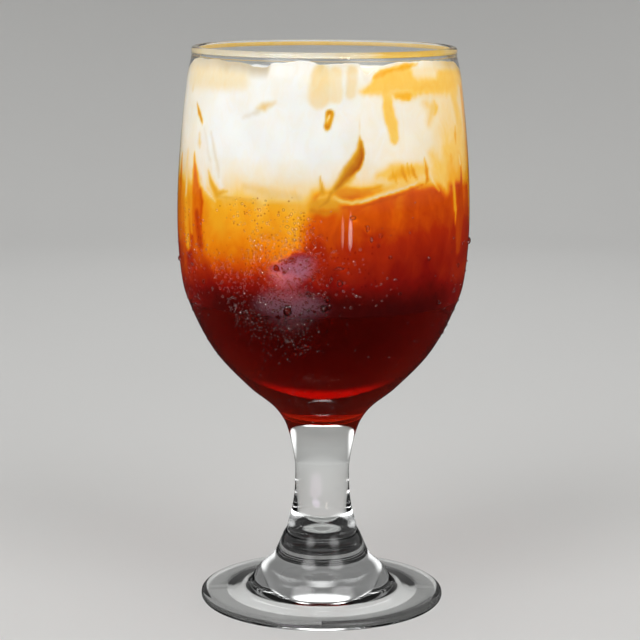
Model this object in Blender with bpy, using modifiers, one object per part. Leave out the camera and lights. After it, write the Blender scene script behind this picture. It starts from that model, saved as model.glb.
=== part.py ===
"""Stemmed water goblet of iced milk tea: dark tea, an amber blend and milk, with ice.

Metres, +Z up. The origin is the centre of the foot's resting ring, on the table.
The drink is seen from -Y, and +X is to the viewer's right.
"""

from math import cos, exp, pi, radians, sin

import bmesh
import bpy
import numpy as np
from mathutils import Euler, Vector

MM = 0.001
STEPS = 48
GAP = 0.3 * MM
POCKET_GAP = 0.35 * MM

# Glass: overall sizes of a 16 oz stemmed water goblet
HEIGHT = 172 * MM
RIM_BEAD = 1.15 * MM
RIM_RADIUS = 40.1 * MM
BELLY_RADIUS = 44.8 * MM
WAIST_RADIUS = 8.4 * MM
FOOT_RADIUS = 37.8 * MM
FOOT_EDGE = 2.9 * MM
REST_OUTER = 35.5 * MM
REST_INNER = 29.5 * MM
UNDERSIDE_RISE = 2.6 * MM
BOWL_FLOOR = 58.3 * MM

# Glass: radius at height down the outside, from the rim's neck to the top of the foot
BOWL_AND_STEM = [
    (40.0 * MM, 169.2 * MM),
    (41.6 * MM, 162 * MM),
    (44.1 * MM, 138 * MM),
    (BELLY_RADIUS, 119 * MM),
    (43.9 * MM, 105 * MM),
    (42.0 * MM, 96 * MM),
    (34.0 * MM, 80 * MM),
    (23.2 * MM, 68 * MM),
    (15.1 * MM, 61.2 * MM),
    (11.1 * MM, 55 * MM),
    (8.6 * MM, 44 * MM),
    (WAIST_RADIUS, 38 * MM),
    (8.9 * MM, 31 * MM),
    (10.9 * MM, 22.2 * MM),
]
CONE = [
    (12.1 * MM, 20.2 * MM),
    (15.2 * MM, 13.4 * MM),
    (20.0 * MM, 8.8 * MM),
    (22.3 * MM, 5.4 * MM),
]
PLATE = [
    (23.4 * MM, 4.1 * MM),
    (29.0 * MM, 3.3 * MM),
]

# Glass: radius at height up the inside, from the floor of the bowl to the rim's neck
BOWL_INSIDE = [
    (0, BOWL_FLOOR),
    (6.0 * MM, 59.3 * MM),
    (12.0 * MM, 63.0 * MM),
    (20.5 * MM, 70.2 * MM),
    (31.6 * MM, 81.4 * MM),
    (39.7 * MM, 96.6 * MM),
    (42.0 * MM, 106 * MM),
    (42.8 * MM, 119 * MM),
    (42.15 * MM, 138 * MM),
    (39.7 * MM, 162 * MM),
    (38.1 * MM, 169.2 * MM),
]

# Drink: heights of the layers, and how far and how often (radians a metre) each border swells
TEA_LEVEL = 96 * MM
TEA_SWELL = 1.5 * MM
TEA_WAVES = (46, 38)
BLEND_LEVEL = 129 * MM
BLEND_SWELL = 3.2 * MM
BLEND_WAVES = (62, 51, 95)
MILK_LEVEL = 161 * MM
MENISCUS = 0.9 * MM
MENISCUS_REACH = 1.4 * MM
DRINK_FOOT = 1.2 * MM
RINGS = [0.35, 0.7, 1.0]
SURFACE_RINGS = [0.4, 0.8, 0.95, 1.0]

# Ice: size, middle, turn in degrees and rounding of each piece that stands out of the milk
ICE_BLOCKS = {
    "ice_left": ((13, 17, 24), (-15.2, -16.6, 155.8), (6, 7, -10), 2.8),
    "ice_centre": ((14, 17, 25), (2.6, -16.0, 154.2), (-5, -3, 8), 2.8),
    "ice_right": ((23, 12, 24), (25.2, -13.4, 155.0), (-4, -7, 38), 3.8),
    "ice_back_left": ((18, 19, 24), (-7.5, 14.5, 153.8), (7, -6, 16), 3.2),
    "ice_back_right": ((18, 20, 24), (16.2, 16.0, 154.0), (-8, 6, -14), 3.2),
}
MELT = 1.3 * MM

GLASS = ("clear_glass", (0.93, 0.95, 0.95), 0.03)
TEA = ("black_tea", (0.045, 0.004, 0.003), 0.1)
BLEND = ("amber_tea", (0.78, 0.24, 0.02), 0.2)
MILK = ("milk", (0.92, 0.88, 0.8), 0.3)
ICE = ("ice", (0.86, 0.85, 0.82), 0.12)


def clear_scene():
    """Removes what a new scene starts with."""
    for item in list(bpy.data.objects):
        bpy.data.objects.remove(item)


def collection(name):
    """A new collection in the scene."""
    made = bpy.data.collections.new(name)
    bpy.context.scene.collection.children.link(made)
    return made


def material(name, colour, roughness):
    """A plain Principled material, made once for each name."""
    made = bpy.data.materials.get(name)
    if made:
        return made
    made = bpy.data.materials.new(name)
    made.use_nodes = True
    shader = made.node_tree.nodes["Principled BSDF"]
    shader.inputs["Base Color"].default_value = (*colour, 1)
    shader.inputs["Roughness"].default_value = roughness
    shader.inputs["Metallic"].default_value = 0
    if made.name == GLASS[0]:
        shader.inputs["Transmission Weight"].default_value = 1
    return made


def place(name, mesh, group, look):
    """An object for this mesh, in a collection and with a material."""
    made = bpy.data.objects.new(name, mesh)
    group.objects.link(made)
    mesh.materials.append(material(*look))
    mesh.shade_smooth()
    mesh.set_sharp_from_angle(angle=radians(35))
    return made


def curve_through(knots, parts):
    """Points on a smooth curve through the knots, with this many parts between two knots."""
    line = [Vector(k) for k in knots]
    ends = [line[0] * 2 - line[1]] + line + [line[-1] * 2 - line[-2]]
    points = []
    for before, start, stop, after in zip(ends, ends[1:], ends[2:], ends[3:]):
        span = (stop - start).length
        lead = (stop - before) * span / ((start - before).length + span)
        tail = (after - start) * span / ((after - stop).length + span)
        for t in np.arange(parts) / parts:
            points.append(
                start * (2 * t**3 - 3 * t**2 + 1)
                + lead * (t**3 - 2 * t**2 + t)
                + stop * (3 * t**2 - 2 * t**3)
                + tail * (t**3 - t**2)
            )
    return points + [line[-1]]


def arc(centre, radius, start, stop, parts):
    """Points on an arc, from one angle to another, in degrees from +X towards +Z."""
    angles = np.radians(np.linspace(start, stop, parts + 1))
    return [Vector((centre[0] + radius * cos(a), centre[1] + radius * sin(a))) for a in angles]


def glass_outline():
    """The goblet's section: up the inside, over the rim, down the outside and under the foot."""
    inside = curve_through(BOWL_INSIDE, 2)
    rim = arc((RIM_RADIUS - RIM_BEAD, HEIGHT - RIM_BEAD), RIM_BEAD, 200, -20, 6)
    outside = curve_through(BOWL_AND_STEM, 2) + curve_through(CONE, 2)
    plate = curve_through(PLATE, 2)
    edge = arc((FOOT_RADIUS - FOOT_EDGE / 2, FOOT_EDGE / 2), FOOT_EDGE / 2, 90, -50, 5)
    underside = [
        Vector((REST_OUTER, 0)),
        Vector((REST_INNER, 0)),
        Vector((REST_INNER * 0.93, UNDERSIDE_RISE * 0.35)),
        Vector((REST_INNER * 0.6, UNDERSIDE_RISE * 0.85)),
        Vector((0, UNDERSIDE_RISE)),
    ]
    return inside + rim + outside + plate + edge + underside


def turned(name, outline, group, look):
    """A solid turned about Z from a section that starts and ends on the axis."""
    mesh = bpy.data.meshes.new(name)
    points = [(p.x, 0, p.y) for p in outline]
    mesh.from_pydata(points, [(i, i + 1) for i in range(len(points) - 1)], [])
    made = place(name, mesh, group, look)
    screw = made.modifiers.new("turn", "SCREW")
    screw.steps = STEPS
    screw.render_steps = STEPS
    screw.use_merge_vertices = True
    screw.merge_threshold = 0.00001
    screw.use_smooth_shade = True
    return made


WALL = np.array(curve_through(BOWL_INSIDE, 12))


def bore_radius(height):
    """Inside radius of the bowl at a height, less the gap that the drink keeps to the glass."""
    slope = np.interp(height, WALL[:, 1], np.gradient(WALL[:, 0], WALL[:, 1]))
    return np.interp(height, WALL[:, 1], WALL[:, 0]) - GAP * (1 + slope**2) ** 0.5


def tea_top(x, y):
    """Height of the border between tea and blend."""
    across, along = TEA_WAVES
    return TEA_LEVEL + TEA_SWELL * sin(across * x + 0.6) * cos(along * y)


def blend_top(x, y):
    """Height of the border between blend and milk, which hangs lowest in front."""
    across, along, ripple = BLEND_WAVES
    swell = sin(across * x - 0.5) * sin(along * y + 0.4) + 0.5 * cos(ripple * x)
    return BLEND_LEVEL + BLEND_SWELL * swell


def milk_top(x, y):
    """Height of the open surface, drawn up at the glass."""
    to_glass = bore_radius(MILK_LEVEL) - (x * x + y * y) ** 0.5
    return MILK_LEVEL + MENISCUS * exp(-to_glass / MENISCUS_REACH)


def edge_height(border, angle, lift):
    """Height at which a border meets the glass, found by stepping towards it."""
    height = border(0, 0)
    for _ in range(6):
        r = bore_radius(height)
        height = border(r * cos(angle), r * sin(angle)) + lift
    return height


def ring_of(shape, angles, radii, heights):
    """A ring of vertices, one for each angle."""
    return [
        shape.verts.new((r * cos(a), r * sin(a), h))
        for a, r, h in zip(angles, radii, heights)
    ]


def border_rings(shape, border, lift, angles, shares):
    """Rings that lie on a border, out to the glass, and a vertex in its middle."""
    edge = [edge_height(border, a, lift) for a in angles]
    rings = []
    for share in shares:
        radii = [share * bore_radius(h) for h in edge]
        heights = [border(r * cos(a), r * sin(a)) + lift for r, a in zip(radii, angles)]
        rings.append(ring_of(shape, angles, radii, heights))
    middle = shape.verts.new((0, 0, border(0, 0) + lift))
    return middle, rings, edge


def bridge(shape, lower, upper):
    """Faces between two rings, pointing away from the axis when upper is above lower."""
    for i in range(STEPS):
        j = (i + 1) % STEPS
        shape.faces.new((lower[i], lower[j], upper[j], upper[i]))


def fan(shape, middle, ring, up):
    """Triangles from a middle vertex to a ring."""
    for i in range(STEPS):
        a, b = ring[i], ring[(i + 1) % STEPS]
        shape.faces.new((middle, a, b) if up else (middle, b, a))


def drink_layer(name, floor, roof, roof_shares, rows, group, look):
    """A layer that fills the bowl from one border to the next, or from the bowl's floor."""
    shape = bmesh.new()
    angles = [2 * pi * i / STEPS for i in range(STEPS)]
    top, top_rings, top_edge = border_rings(shape, roof, 0, angles, roof_shares)
    if floor:
        bottom, low_rings, low_edge = border_rings(shape, floor, GAP, angles, RINGS)
    else:
        lowest = BOWL_FLOOR + GAP
        low_edge = [lowest + DRINK_FOOT] * STEPS
        bottom = shape.verts.new((0, 0, lowest))
        radius = bore_radius(low_edge[0])
        low_rings = [ring_of(shape, angles, [radius] * STEPS, low_edge)]
    wall = [low_rings[-1]]
    for row in range(1, rows):
        heights = [a + (b - a) * row / rows for a, b in zip(low_edge, top_edge)]
        wall.append(ring_of(shape, angles, [bore_radius(h) for h in heights], heights))
    wall.append(top_rings[-1])
    fan(shape, bottom, low_rings[0], up=False)
    fan(shape, top, top_rings[0], up=True)
    for inner, outer in zip(low_rings, low_rings[1:]):
        bridge(shape, inner, outer)
    for lower, upper in zip(wall, wall[1:]):
        bridge(shape, lower, upper)
    for inner, outer in zip(top_rings, top_rings[1:]):
        bridge(shape, outer, inner)
    mesh = bpy.data.meshes.new(name)
    shape.to_mesh(mesh)
    shape.free()
    return place(name, mesh, group, look)


def ice_block(name, group, suffix=""):
    """A block of ice with slightly uneven corners and melted edges."""
    size, spot, turn, rounding = ICE_BLOCKS[name]
    uneven = np.random.default_rng(list(ICE_BLOCKS).index(name))
    shape = bmesh.new()
    bmesh.ops.create_cube(shape, size=1)
    for vert in shape.verts:
        melt = Vector(uneven.uniform(-MELT, MELT, 3))
        vert.co = Vector([c * s * MM for c, s in zip(vert.co, size)]) + melt
    mesh = bpy.data.meshes.new(name + suffix)
    shape.to_mesh(mesh)
    shape.free()
    made = place(name + suffix, mesh, group, ICE)
    made.location = Vector(spot) * MM
    made.rotation_euler = Euler([radians(t) for t in turn])
    bevel = made.modifiers.new("melted_edges", "BEVEL")
    bevel.width = rounding * MM
    bevel.segments = 3
    made.modifiers.new("triangles", "TRIANGULATE")
    return made


def cut_pocket(milk, name, group):
    """Cuts the milk round a piece of ice, a little wider than the ice all round."""
    cutter = ice_block(name, group, suffix="_pocket")
    cutter.hide_render = True
    cutter.display_type = "WIRE"
    wider = cutter.modifiers.new("wider", "DISPLACE")
    wider.mid_level = 0
    wider.strength = POCKET_GAP
    pocket = milk.modifiers.new(name, "BOOLEAN")
    pocket.operation = "DIFFERENCE"
    pocket.solver = "EXACT"
    pocket.object = cutter


def build():
    """Builds the goblet, the three layers of the drink and the ice."""
    clear_scene()
    parts = collection("iced_milk_tea")
    cutters = collection("cutters")
    turned("goblet", glass_outline(), parts, GLASS)
    drink_layer("tea", None, tea_top, RINGS, 9, parts, TEA)
    drink_layer("amber_blend", tea_top, blend_top, RINGS, 5, parts, BLEND)
    milk = drink_layer("milk", blend_top, milk_top, SURFACE_RINGS, 5, parts, MILK)
    for name in ICE_BLOCKS:
        ice_block(name, parts)
        cut_pocket(milk, name, cutters)


build()
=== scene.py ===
from math import cos, exp, pi, radians, sin

import bmesh
import bpy
import numpy as np
from mathutils import Matrix, Vector


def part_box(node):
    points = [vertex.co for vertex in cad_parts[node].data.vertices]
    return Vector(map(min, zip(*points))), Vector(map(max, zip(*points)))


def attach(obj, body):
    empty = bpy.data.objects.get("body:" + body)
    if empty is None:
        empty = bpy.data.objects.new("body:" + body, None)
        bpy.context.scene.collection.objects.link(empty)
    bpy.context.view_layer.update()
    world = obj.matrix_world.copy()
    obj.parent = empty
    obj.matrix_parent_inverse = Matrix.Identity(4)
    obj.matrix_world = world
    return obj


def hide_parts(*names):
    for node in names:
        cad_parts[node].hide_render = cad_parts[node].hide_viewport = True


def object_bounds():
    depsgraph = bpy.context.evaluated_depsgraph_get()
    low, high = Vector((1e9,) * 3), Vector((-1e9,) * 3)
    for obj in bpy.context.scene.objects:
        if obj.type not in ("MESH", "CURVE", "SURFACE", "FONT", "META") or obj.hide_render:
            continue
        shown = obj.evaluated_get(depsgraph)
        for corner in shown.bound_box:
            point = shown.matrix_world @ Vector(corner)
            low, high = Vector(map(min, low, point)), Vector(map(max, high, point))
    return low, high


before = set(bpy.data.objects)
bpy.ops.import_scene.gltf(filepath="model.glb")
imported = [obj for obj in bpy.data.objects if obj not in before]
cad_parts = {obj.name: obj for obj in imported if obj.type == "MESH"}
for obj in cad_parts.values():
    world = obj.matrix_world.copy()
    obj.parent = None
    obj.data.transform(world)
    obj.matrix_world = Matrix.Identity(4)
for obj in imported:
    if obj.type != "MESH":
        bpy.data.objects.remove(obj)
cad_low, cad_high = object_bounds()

# Goblet: one piece of clear pressed glass, with bowl, stem, cone and foot.
# It is turned from its section. The rim is fire polished to a bead, and the foot's
# underside is hollow, so that it stands on a ring.
MM = 0.001
WELD = 0.01 * MM
SHARP_CORNER = 40
TURN_STEPS = 180
RIM_BEAD = 1.15 * MM
RIM_BEND = (200, -20)
FOOT_EDGE = 2.9 * MM
FOOT_BEND = (90, -50)
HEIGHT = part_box("goblet")[1].z
RIM_RADIUS = 40.1 * MM
FOOT_RADIUS = 37.8 * MM
REST_OUTER = 35.5 * MM
REST_INNER = 29.5 * MM
UNDERSIDE_RISE = 2.6 * MM
# The hollow under the foot, in shares of its radius and of its rise
UNDERSIDE = [(1, 0), (0.93, 0.35), (0.6, 0.85), (0, 1)]
# The section, in (radius, height) in mm, and the points from one knot to the next
OUTSIDE = [
    (40.0, 169.2), (41.5, 162), (43.9, 138), (44.55, 119), (43.7, 105), (41.85, 96), (34.0, 80),
    (23.2, 68), (15.1, 61.2), (11.1, 55), (8.6, 44), (8.4, 38), (8.9, 31), (10.9, 22.2),
]
CONE = [(12.1, 20.2), (15.2, 13.4), (20.0, 8.8), (22.3, 5.4)]
PLATE = [(23.4, 4.1), (29.0, 3.3)]
INSIDE = [
    (0, 58.3), (6.0, 59.3), (12.0, 63.0), (20.5, 70.2), (31.6, 81.4), (39.7, 96.6),
    (42.0, 106), (42.8, 119), (42.15, 138), (39.7, 162), (38.1, 169.2),
]
WALL_PARTS = 6
CONE_PARTS = 4
PLATE_PARTS = 3
RIM_PARTS = 14
EDGE_PARTS = 10
GLASS_IOR = 1.5
TEA_IOR = 1.333
MISTED_SHINE = 0.7
WET_FROM = 56 * MM
WET_TO = 161 * MM
FACES_UP = 0.9
WAVES_PER_METRE = 42.0
WAVE_STRENGTH = 0.05
WAVE_DEPTH = 0.4 * MM
GLASS_TINT = (0.97, 0.985, 0.98)
# Painted shade: dark specks in the glass's tint where the mist is thick
SPECK_PAINTED_SHADE = (0.40, 0.16, 0.11)
SPECKS_PER_METRE = 1000.0
SPECK_EDGE = 0.20
SPECK_SOFT = 0.18


def curve_through(knots, parts):
    """Points in metres on a smooth curve through knots in millimetres."""
    line = [Vector(k) * MM for k in knots]
    ends = [line[0] * 2 - line[1]] + line + [line[-1] * 2 - line[-2]]
    points = []
    for before, start, stop, after in zip(ends, ends[1:], ends[2:], ends[3:]):
        span = (stop - start).length
        lead = (stop - before) * span / ((start - before).length + span)
        tail = (after - start) * span / ((after - stop).length + span)
        for t in np.arange(parts) / parts:
            points.append(
                start * (2 * t**3 - 3 * t**2 + 1)
                + lead * (t**3 - 2 * t**2 + t)
                + stop * (3 * t**2 - 2 * t**3)
                + tail * (t**3 - t**2)
            )
    return points + [line[-1]]


def arc(centre, radius, start, stop, parts):
    """Points on an arc, from one angle to another, in degrees from +X towards +Z."""
    angles = np.radians(np.linspace(start, stop, parts + 1))
    return [Vector((centre[0] + radius * cos(a), centre[1] + radius * sin(a))) for a in angles]


def link(name, mesh):
    """An object for this mesh, shaded smooth but for its sharp edges."""
    made = bpy.data.objects.new(name, mesh)
    bpy.context.scene.collection.objects.link(made)
    mesh.shade_smooth()
    mesh.set_sharp_from_angle(angle=radians(SHARP_CORNER))
    return made


def plain_mesh(made):
    """Applies an object's modifiers, so that its mesh holds the result."""
    graph = bpy.context.evaluated_depsgraph_get()
    mesh = bpy.data.meshes.new_from_object(made.evaluated_get(graph))
    made.modifiers.clear()
    made.data = mesh
    return made


def turned(name, outline, steps):
    """A shape turned about Z from a section, in (radius, height)."""
    mesh = bpy.data.meshes.new(name)
    mesh.from_pydata([(p.x, 0, p.y) for p in outline], [(i, i + 1) for i in range(len(outline) - 1)], [])
    made = link(name, mesh)
    screw = made.modifiers.new("turn", "SCREW")
    screw.steps = screw.render_steps = steps
    screw.use_merge_vertices = True
    screw.merge_threshold = WELD
    screw.use_smooth_shade = True
    plain_mesh(made)
    made.data.shade_smooth()
    return made


def new_material(name):
    """An empty node material and its output node."""
    made = bpy.data.materials.new(name)
    made.use_nodes = True
    made.node_tree.nodes.clear()
    return made, made.node_tree.nodes.new("ShaderNodeOutputMaterial")


def add(material, kind, **settings):
    """A node of this kind, with sockets or properties set by name."""
    node = material.node_tree.nodes.new("ShaderNode" + kind)
    for name, value in settings.items():
        socket = node.inputs.get(name.replace("_", " "))
        if socket is not None:
            socket.default_value = value
        else:
            setattr(node, name, value)
    return node


def join(material, source, target):
    """Links an output socket to an input socket."""
    material.node_tree.links.new(source, target)


def run_of_colour(material, first, second, start=0.0, stop=1.0):
    """A ramp from one colour at start to another at stop."""
    made = add(material, "ValToRGB")
    low, high = made.color_ramp.elements
    low.position = start
    low.color = (*first, 1)
    high.position = stop
    high.color = (*second, 1)
    return made


def clear_to_shadows(material, shader, output, tint=(1, 1, 1, 1)):
    """Shows the shader, and lets light through it to what stands behind."""
    path = add(material, "LightPath")
    pass_through = add(material, "BsdfTransparent", Color=tint)
    choice = add(material, "MixShader")
    join(material, path.outputs["Is Shadow Ray"], choice.inputs[0])
    join(material, shader.outputs[0], choice.inputs[1])
    join(material, pass_through.outputs[0], choice.inputs[2])
    join(material, choice.outputs[0], output.inputs["Surface"])


def fine_mist_shade(material, glass, place):
    """Paints dark specks where the surface's mist is thick: painted shade for the light that beads too small
    to be built send away.
    """
    cells = add(material, "TexVoronoi", Scale=SPECKS_PER_METRE)
    edge = add(material, "MapRange", From_Min=SPECK_EDGE + SPECK_SOFT, From_Max=SPECK_EDGE)
    chance = add(material, "SeparateXYZ")
    held = add(material, "Attribute", attribute_name="mist")
    present = add(material, "Math", operation="LESS_THAN")
    shown = add(material, "Math", operation="MULTIPLY")
    tint = run_of_colour(material, GLASS_TINT, SPECK_PAINTED_SHADE)
    join(material, place.outputs["Object"], cells.inputs["Vector"])
    join(material, cells.outputs["Distance"], edge.inputs["Value"])
    join(material, cells.outputs["Color"], chance.inputs[0])
    join(material, chance.outputs["X"], present.inputs[0])
    join(material, held.outputs["Fac"], present.inputs[1])
    join(material, edge.outputs[0], shown.inputs[0])
    join(material, present.outputs[0], shown.inputs[1])
    join(material, shown.outputs[0], tint.inputs[0])
    join(material, tint.outputs[0], glass.inputs["Base Color"])


def pressed_glass(name, against, shine, misted=False):
    """Clear glass with the faint waves that a mould leaves, where it lies against air or drink."""
    made, output = new_material(name)
    glass = add(
        made, "BsdfPrincipled", Base_Color=(*GLASS_TINT, 1), Roughness=0.0, IOR=GLASS_IOR / against,
        Transmission_Weight=1.0, Specular_Tint=(shine, shine, shine, 1),
    )
    place = add(made, "TexCoord")
    waves = add(made, "TexNoise", Scale=WAVES_PER_METRE, Detail=1.0, Roughness=0.4)
    bump = add(made, "Bump", Strength=WAVE_STRENGTH, Distance=WAVE_DEPTH)
    join(made, place.outputs["Object"], waves.inputs["Vector"])
    join(made, waves.outputs[0], bump.inputs["Height"])
    join(made, bump.outputs[0], glass.inputs["Normal"])
    if misted:
        fine_mist_shade(made, glass, place)
    clear_to_shadows(made, glass, output)
    return made


bowl_inside = curve_through(INSIDE, WALL_PARTS)
bowl_outside = curve_through(OUTSIDE, WALL_PARTS)
rim_middle = (RIM_RADIUS - RIM_BEAD, HEIGHT - RIM_BEAD)
goblet_outline = (
    bowl_inside
    + arc(rim_middle, RIM_BEAD, *RIM_BEND, RIM_PARTS)
    + bowl_outside
    + curve_through(CONE, CONE_PARTS)
    + curve_through(PLATE, PLATE_PARTS)
    + arc((FOOT_RADIUS - FOOT_EDGE / 2, FOOT_EDGE / 2), FOOT_EDGE / 2, *FOOT_BEND, EDGE_PARTS)
    + [Vector((REST_OUTER, 0))]
    + [Vector((REST_INNER * out, UNDERSIDE_RISE * up)) for out, up in UNDERSIDE]
)
goblet = turned("goblet_glass", goblet_outline, TURN_STEPS)
goblet.data.materials.append(pressed_glass("clear_pressed_glass", 1.0, 1.0))
goblet.data.materials.append(pressed_glass("wetted_glass", TEA_IOR, 1.0))
goblet.data.materials.append(pressed_glass("misted_glass", 1.0, MISTED_SHINE, misted=True))
for face in goblet.data.polygons:
    toward_axis = face.normal.x * face.center.x + face.normal.y * face.center.y < 0
    inward = toward_axis or face.normal.z > FACES_UP
    beside_drink = WET_FROM < face.center.z < WET_TO
    face.material_index = (1 if inward else 2) if beside_drink else 0
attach(goblet, "root")
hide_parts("goblet")

# Tea: strong black tea, clear and dark red. It takes colour from its own depth, so it is
# bright red at its thin edges and nearly black through the middle. Like every layer of the
# drink it reaches a fraction of a millimetre into the glass, as it wets it with no air between.
REACH = 0.25 * MM
TEA_TOP = 98.5 * MM
TEA_SHOULDER = 0.5 * MM
TEA_LID_INSET = 0.8 * MM
TEA_STEPS = 144
TEA_ABSORBS = 140.0
TEA_PASSES = (0.77, 0.286, 0.0, 1)
TEA_HAZE = (0.55, 0.02, 0.008)
# Painted glow: the tea's colour turns from its haze to this brighter red, from the first height down to the
# second
TEA_PAINTED_GLOW = (1.0, 0.055, 0.012)
PAINTED_GLOW_FROM = 86 * MM
PAINTED_GLOW_TO = 66 * MM
TEA_CLEARNESS = 0.93


def pushed_out(line, reach):
    """A section's points, each moved by this much across the line, away from the axis and down."""
    moved = []
    for i, point in enumerate(line):
        along = line[min(i + 1, len(line) - 1)] - line[max(i - 1, 0)]
        moved.append(point + Vector((along.y, -along.x)).normalized() * reach)
    moved[0].x = 0
    return moved


def clear_tea():
    """Clear tea that reddens with depth, its colour painted a brighter red towards the bottom as a painted
    glow.
    """
    made, output = new_material("dark_red_tea")
    tea = add(made, "BsdfPrincipled", Roughness=0.0, IOR=1.0, Transmission_Weight=TEA_CLEARNESS)
    place = add(made, "TexCoord")
    apart = add(made, "SeparateXYZ")
    lowness = add(made, "MapRange", From_Min=PAINTED_GLOW_FROM, From_Max=PAINTED_GLOW_TO)
    glow = run_of_colour(made, TEA_HAZE, TEA_PAINTED_GLOW)
    join(made, place.outputs["Object"], apart.inputs[0])
    join(made, apart.outputs["Z"], lowness.inputs["Value"])
    join(made, lowness.outputs[0], glow.inputs[0])
    join(made, glow.outputs[0], tea.inputs["Base Color"])
    clear_to_shadows(made, tea, output)
    depth = add(made, "VolumeAbsorption", Color=TEA_PASSES, Density=TEA_ABSORBS)
    join(made, depth.outputs[0], output.inputs["Volume"])
    return made


wet_wall = pushed_out(bowl_inside, REACH)
tea_side = [p for p in wet_wall if p.y < TEA_TOP - TEA_SHOULDER]
tea_lid = [Vector((tea_side[-1].x - TEA_LID_INSET, TEA_TOP)), Vector((0, TEA_TOP))]
tea = turned("dark_tea", (tea_side + tea_lid)[::-1], TEA_STEPS)
tea.data.materials.append(clear_tea())
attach(tea, "root")
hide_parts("tea")

# Amber blend and milk: tea and milk that have only begun to mix. The milk hangs down in
# streaks, tea climbs through it, and ice pressed against the glass leaves pale patches.
# Both are opaque, so what shows is the skin of liquid that wets the glass.
COLUMNS = 540
SKIN_REACH = 0.32 * MM
BLEND_FLOOR = 96.0 * MM
SEAM = 129.0 * MM
# The border swells in waves: rise in mm, how many round the glass, and where they start
SEAM_WAVES = [(0.7, 3, 1), (0.4, 7, 0)]
MILK_LEVEL = 161.0 * MM
MENISCUS = 0.9 * MM
MENISCUS_REACH = 1.4 * MM
FILM = 0.12 * MM
SKIN_ROW = 0.45 * MM
SHINE_AT_GLASS = 0.08
SHINE_IN_AIR = 0.5
SURFACE_EDGE = 38.6
SURFACE_BLEND = 1.5
SURFACE_SHARE = 0.08
# Rings of the open surface, in mm from its edge, and the low waves on it: rise, seed and size
# in mm, and how far in they are full
SURFACE_INSETS = (*np.arange(0.5, 4, 0.5), *range(4, 38))
LAP = 0.12 * MM
LAP_KIND = (20, 13)
LAP_FROM = 4
RIPPLE_EVENED = 1.5
# Length in mm of a degree round the glass
PER_DEGREE = 0.768


def smooth(low, high, value):
    """0 below low and 1 above high, with an even run between."""
    t = np.clip((value - low) / (high - low), 0, 1)
    return t * t * (3 - 2 * t)


def ripple(angle, height, seed, size, detail=5):
    """Smooth unevenness from -1 to 1 that closes round the glass, with swirls of this size in mm."""
    draw = np.random.default_rng(seed)
    total = np.zeros_like(angle)
    for _ in range(detail):
        turns = np.round(draw.uniform(-1, 1) * 360 * PER_DEGREE / size)
        rise = draw.uniform(-1, 1) * 2 * pi / size
        total += np.sin(np.radians(angle) * turns + height * rise + draw.uniform(0, 2 * pi))
    return total / detail**0.5 / RIPPLE_EVENED


def rippled(values, angle, height, kinds):
    """Values made uneven by ripples of these kinds, each (depth, seed, size in mm, detail)."""
    for depth, *kind in kinds:
        values = values + depth * ripple(angle, height, *kind)
    return values


def stroke(angle, height, path, soft, per_degree=PER_DEGREE):
    """How far a streak covers each place, along a path of (degrees, mm, width in mm)."""
    covered = np.zeros_like(angle)
    for start, stop in zip(path, path[1:]):
        along = np.array([(stop[0] - start[0]) * per_degree, stop[1] - start[1]])
        across = ((angle - start[0] + 180) % 360 - 180) * per_degree
        up = height - start[1]
        t = np.clip((across * along[0] + up * along[1]) / (along @ along), 0, 1)
        away = np.hypot(across - t * along[0], up - t * along[1])
        half = (start[2] + (stop[2] - start[2]) * t) / 2
        covered = np.maximum(covered, 1 - smooth(half - soft, half + soft, away))
    return covered


# Share of tea by height in mm, where the milk hangs low and where the tea climbs high
PALE_SIDE = [
    (172, 0.02), (155, 0.01), (150, 0.0), (142, 0.005), (137, 0.07), (133.5, 0.15), (131.0, 0.22),
    (129.2, 0.31), (126, 0.34), (121, 0.37), (117, 0.43), (113.5, 0.49), (110.5, 0.57), (108, 0.65),
    (105, 0.75), (102.6, 0.82), (101.2, 0.87), (99.2, 0.91), (97, 0.925), (96, 0.93),
]
DARK_SIDE = [
    (172, 0.07), (150, 0.13), (141.6, 0.19), (137, 0.25), (134, 0.31), (131.5, 0.53), (125, 0.56),
    (122.5, 0.58), (120, 0.62), (117, 0.65), (113, 0.68), (110, 0.72), (107, 0.75), (104.6, 0.80),
    (101.6, 0.89), (99.2, 0.94), (97, 0.95), (96, 0.95),
]
# How far the drink is like the dark side, by degrees from the front, below and above the milk's edge
LEAN_LOW = [
    (-180, 0.1), (-150, 0.7), (-125, 0.9), (-100, 0.5), (-85, 0.5), (-66, 0.35), (-58, 0.6), (-53, 0.35),
    (-47, 0.0), (-6.5, 0.0), (-2.0, 0.95), (30, 1.0), (48, 1.2), (70, 1.15), (90, 1.0), (115, 0.4),
    (140, 0.0), (160, 0.1),
]
LEAN_HIGH = [
    (-180, 0.2), (-150, 0.5), (-120, 0.8), (-80, 0.5), (-62, 0.3), (-48, 0.0), (2, 0.0), (14, 0.2),
    (35, 0.35), (46, 0.5), (57, 1.4), (90, 1.5), (125, 0.3), (150, 0.0),
]
MILK_EDGE = (131, 137)
# The layers slant: degrees for each mm below a height, down to a depth
SLANT = 0.22
SLANT_BELOW = 129
SLANT_DEPTH = 20
# Ripples of the layers, the streaks, the shade, the film and the open surface, each
# (depth, seed, size in mm, detail)
LAYER_SWAY = [(1.6, 3, 16), (0.7, 4, 5)]
LAYER_LIFT = [(0.9, 5, 20), (0.35, 6, 4)]
STREAK_SWAY = [(0.5, 8, 9), (0.18, 10, 2.6, 7)]
STREAK_LIFT = [(0.15, 13, 2.2, 7)]
SHADE_RIPPLE = [(0.02, 12, 12, 8)]
FILM_RIPPLE = [(0.25, 18, 9), (0.12, 19, 3)]
SURFACE_RIPPLE = [(0.05, 14, 18), (0.03, 15, 7)]
SURFACE_SWAY = [(1.2, 16, 14)]
SURFACE_LIFT = [(1.2, 17, 14)]
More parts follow.
